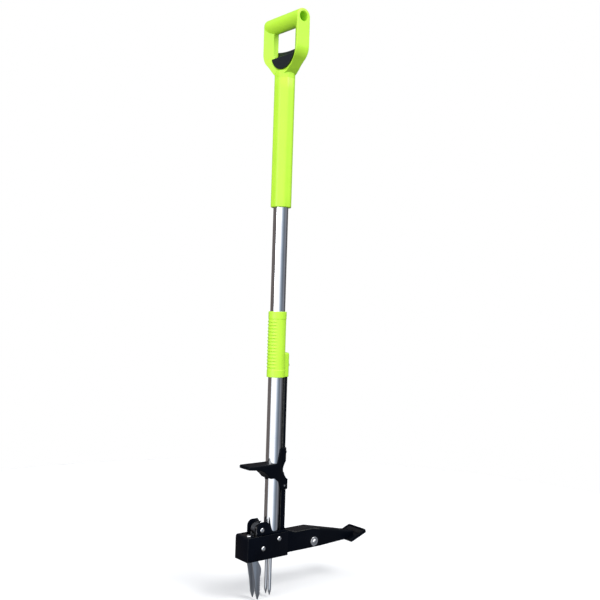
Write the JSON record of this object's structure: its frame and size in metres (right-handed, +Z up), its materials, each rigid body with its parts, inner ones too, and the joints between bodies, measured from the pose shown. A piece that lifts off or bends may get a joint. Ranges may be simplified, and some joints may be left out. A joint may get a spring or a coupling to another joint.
{
  "type": "stand up weeder",
  "caption": "Long-handled weeder with a D-handle, fixed prongs, serrated claws closed by a foot pedal, and a sliding sleeve that opens them.",
  "frame": {"origin": "on the tube's axis in the plane of the claw tips, where the tool stands in the ground", "axes": "+Z up along the tube; +X towards the pedal's tread; +Y completes the right-handed frame, along the D-handle's cross bar and the pivots"},
  "size_m": [0.259, 0.092, 0.97],
  "materials": {
    "polished_steel": "polished",
    "bright_steel": "bright",
    "blade_steel": "satin",
    "spring_steel": "blackened",
    "black_paint": "semi-gloss",
    "black_plastic": "fine grain",
    "black_rubber": "matt",
    "lime_plastic": "satin",
    "navy_plastic": "satin"
  },
  "bodies": {
    "root": {"tube": "polished_steel", "tube_plug": "black_plastic", "prong_near": "blade_steel", "prong_far": "blade_steel", "head_housing": "black_paint", "claw_pivot_rivet": "bright_steel", "pedal_pivot_rivet": "bright_steel", "pivot_spacers": "bright_steel", "housing_screw": "bright_steel", "long_grip": "lime_plastic", "d_handle": "lime_plastic", "yoke_insert": "navy_plastic", "handle_screws": "bright_steel"},
    "pedal": {"pedal_lever": "black_paint", "pedal_arm": "black_plastic", "foot_tread": "black_plastic", "tread_pad": "black_rubber", "tread_screws": "bright_steel", "arm_bolt": "bright_steel", "arm_washer": "bright_steel", "arm_nut": "bright_steel", "link_rivet": "bright_steel", "push_pin": "bright_steel", "return_spring": "spring_steel"},
    "claws": {"claw_near": "blade_steel", "claw_far": "blade_steel", "claw_spacer": "bright_steel"},
    "slide": {"slide_sleeve": "lime_plastic", "push_rod": "black_paint", "step_clip": "black_plastic", "push_bar": "black_paint", "rod_screws": "bright_steel", "bar_pin": "bright_steel"}
  },
  "joints": [
    {"name": "pedal_hinge", "type": "hinge", "parent": "root", "child": "pedal", "pos_m": [0.0043, 0, 0.0973], "axis": [0, -1, 0], "range_deg": [0, 25], "stiffness_Nm_per_rad": 0.5, "springref_deg": -17.19, "deforming": ["return_spring"]},
    {"name": "claw_hinge", "type": "hinge", "parent": "root", "child": "claws", "pos_m": [-0.028, 0, 0.0858], "axis": [0, -1, 0], "range_deg": [-0.01, 11.1]},
    {"name": "sleeve_slide", "type": "slide", "parent": "root", "child": "slide", "axis": [0, 0, 1], "range_m": [-0.00001, 0.0067]}
  ],
  "couplings": [
    {"joint": "claw_hinge", "follows": "pedal_hinge", "ratio": 0.44},
    {"joint": "sleeve_slide", "follows": "pedal_hinge", "m_per_rad": 0.01495}
  ]
}
